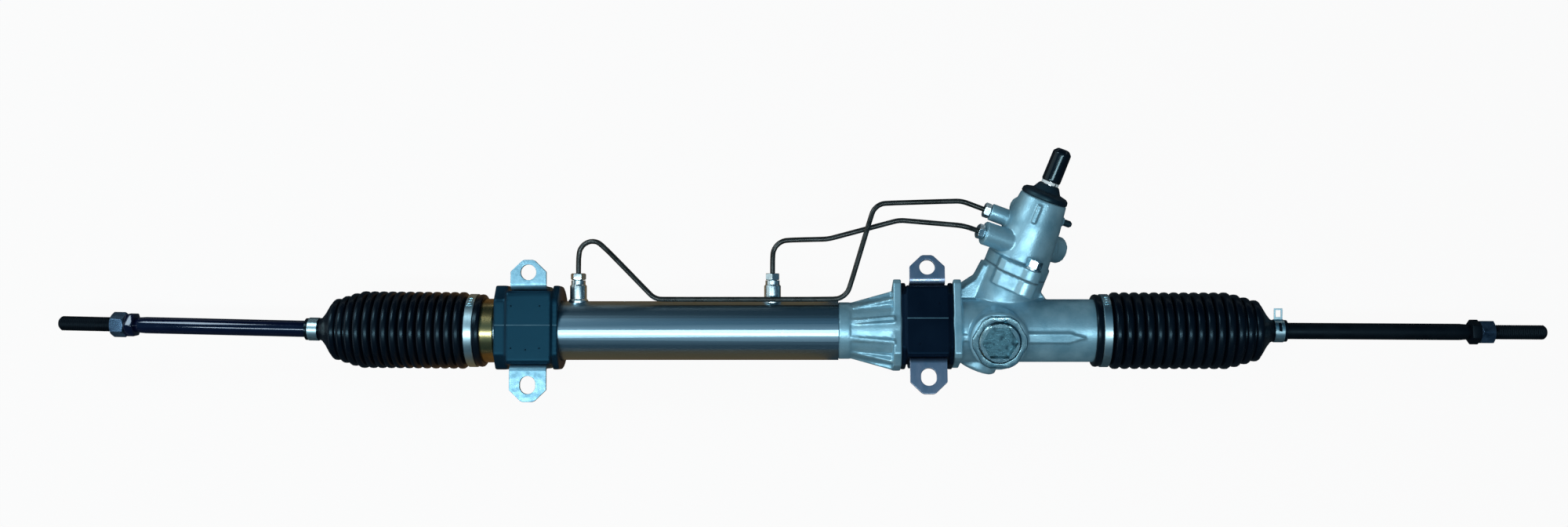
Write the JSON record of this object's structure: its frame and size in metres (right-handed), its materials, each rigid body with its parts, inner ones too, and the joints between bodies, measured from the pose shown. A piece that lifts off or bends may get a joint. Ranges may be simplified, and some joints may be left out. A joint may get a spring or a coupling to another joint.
{
  "type": "steering rack",
  "caption": "Hydraulic power-assisted rack-and-pinion steering gear with rotary valve, feed pipes, two mounting clamps, bellows boots and inner tie rods.",
  "frame": {"origin": "centre of the mounting face of the pinion-side clamp, on the flat front of its bush, 28 mm above the rack axis", "axes": "+X along the rack towards the pinion end, +Z along the mounting face's outward normal, +Y towards the input shaft"},
  "size_m": [1.2128, 0.2036, 0.0997],
  "materials": {
    "tube_steel": "brushed along the tube, bare",
    "gold_steel": "yellow passivated",
    "zinc_fitting": "bright zinc plated",
    "zinc_strap": "zinc plated sheet",
    "bronze": "sintered bronze",
    "seal_rubber": "moulded",
    "cover_rubber": "moulded, matt",
    "bush_rubber": "moulded, matt",
    "boot_rubber": "moulded, satin",
    "cast_aluminium": "die cast, blasted",
    "machined_aluminium": "turned",
    "machined_steel": "turned",
    "bearing_steel": "ground",
    "spring_steel": "oiled",
    "ground_steel": "ground",
    "dark_steel": "phosphated",
    "pipe_black": "black plated",
    "stainless_band": "stainless strip",
    "seal_plastic": "filled, smooth",
    "nylon": "moulded",
    "rod_black": "gloss black",
    "nut_black": "blued, glossy",
    "cap_plastic": "gloss black"
  },
  "bodies": {
    "housing": {"cylinder_tube": "tube_steel", "end_sleeve": "gold_steel", "unions": "zinc_fitting", "union_nuts": "zinc_fitting", "end_bush": "bronze", "outer_rod_seal": "seal_rubber", "inner_rod_seal": "seal_rubber", "gear_housing": "cast_aluminium", "lower_bush": "bearing_steel", "bore_plug": "machined_steel", "pinion_bearing": "bearing_steel", "guide_plug": "machined_aluminium", "plug_lock_nut": "machined_steel", "guide_spring": "spring_steel", "gasket": "seal_rubber", "valve_housing": "cast_aluminium", "flange_bolts": "zinc_fitting", "upper_bush": "bearing_steel", "shaft_seal": "seal_rubber", "dust_cover": "cover_rubber", "bleed_stopper": "cover_rubber", "port_nuts": "zinc_fitting", "left_feed_pipe": "pipe_black", "right_feed_pipe": "pipe_black", "pinion_clamp": "zinc_strap", "pinion_clamp_bush": "bush_rubber", "left_boot": "boot_rubber", "right_boot": "boot_rubber", "left_band_clamp": "stainless_band", "right_band_clamp": "stainless_band"},
    "rack": {"rack_bar": "ground_steel", "piston": "machined_aluminium", "piston_ring": "seal_plastic", "piston_clips": "spring_steel", "left_socket": "dark_steel", "right_socket": "dark_steel", "left_tab_washer": "zinc_fitting", "right_tab_washer": "zinc_fitting"},
    "left_seat": {"left_ball_seat": "nylon"},
    "left_rod": {"left_tie_rod": "rod_black", "left_lock_nut": "nut_black", "left_spring_clip": "stainless_band"},
    "right_seat": {"right_ball_seat": "nylon"},
    "right_rod": {"right_tie_rod": "rod_black", "right_lock_nut": "nut_black", "right_spring_clip": "stainless_band"},
    "guide": {"rack_guide": "machined_aluminium", "guide_liner": "bronze", "guide_ring": "seal_rubber"},
    "pinion_shaft": {"pinion": "ground_steel", "valve_sleeve": "ground_steel", "sleeve_rings": "seal_plastic"},
    "input": {"input_shaft": "ground_steel", "torsion_bar": "spring_steel", "torsion_pin": "spring_steel", "shaft_ring": "nylon"},
    "cap": {"spline_cap": "cap_plastic"},
    "cylinder_mount": {"cylinder_clamp": "zinc_strap", "cylinder_clamp_bush": "bush_rubber"}
  },
  "joints": [
    {"name": "rack_slide", "type": "slide", "parent": "housing", "child": "rack", "axis": [1, 0, 0], "range_m": [-0.077, 0.055], "deforming": ["left_boot", "right_boot"]},
    {"name": "pinion_spin", "type": "hinge", "parent": "housing", "child": "pinion_shaft", "pos_m": [0.056, 0.00784, -0.04408], "axis": [0.3518, 0.8413, 0.4103], "range_deg": [-575, 425]},
    {"name": "valve_twist", "type": "hinge", "parent": "pinion_shaft", "child": "input", "pos_m": [0.056, 0.00784, -0.04408], "axis": [0.3518, 0.8413, 0.4103], "range_deg": [-4.5, 4.5], "stiffness_Nm_per_rad": 100},
    {"name": "cap_pull", "type": "slide", "parent": "input", "child": "cap", "axis": [0.3518, 0.8413, 0.4103], "range_m": [0, 0.035]},
    {"name": "guide_slide", "type": "slide", "parent": "housing", "child": "guide", "axis": [0, -0.4384, 0.8988], "range_m": [0, 0.0005], "stiffness_N_per_m": 2000, "springref_m": -0.0005, "deforming": ["guide_spring"]},
    {"name": "cylinder_clamp_turn", "type": "hinge", "parent": "housing", "child": "cylinder_mount", "pos_m": [-0.3198, 0, -0.028], "axis": [1, 0, 0], "range_deg": [-20, 20]},
    {"name": "left_rod_lift", "type": "hinge", "parent": "rack", "child": "left_seat", "pos_m": [-0.4468, 0, -0.028], "axis": [0, 1, 0], "range_deg": [-20, 20]},
    {"name": "left_rod_sweep", "type": "hinge", "parent": "left_seat", "child": "left_rod", "pos_m": [-0.4468, 0, -0.028], "axis": [0, 0, 1], "range_deg": [-20, 20]},
    {"name": "right_rod_lift", "type": "hinge", "parent": "rack", "child": "right_seat", "pos_m": [0.245, 0, -0.028], "axis": [0, 1, 0], "range_deg": [-20, 20]},
    {"name": "right_rod_sweep", "type": "hinge", "parent": "right_seat", "child": "right_rod", "pos_m": [0.245, 0, -0.028], "axis": [0, 0, 1], "range_deg": [-20, 20]}
  ],
  "couplings": [
    {"joint": "pinion_spin", "follows": "rack_slide", "rad_per_m": 130.01}
  ]
}
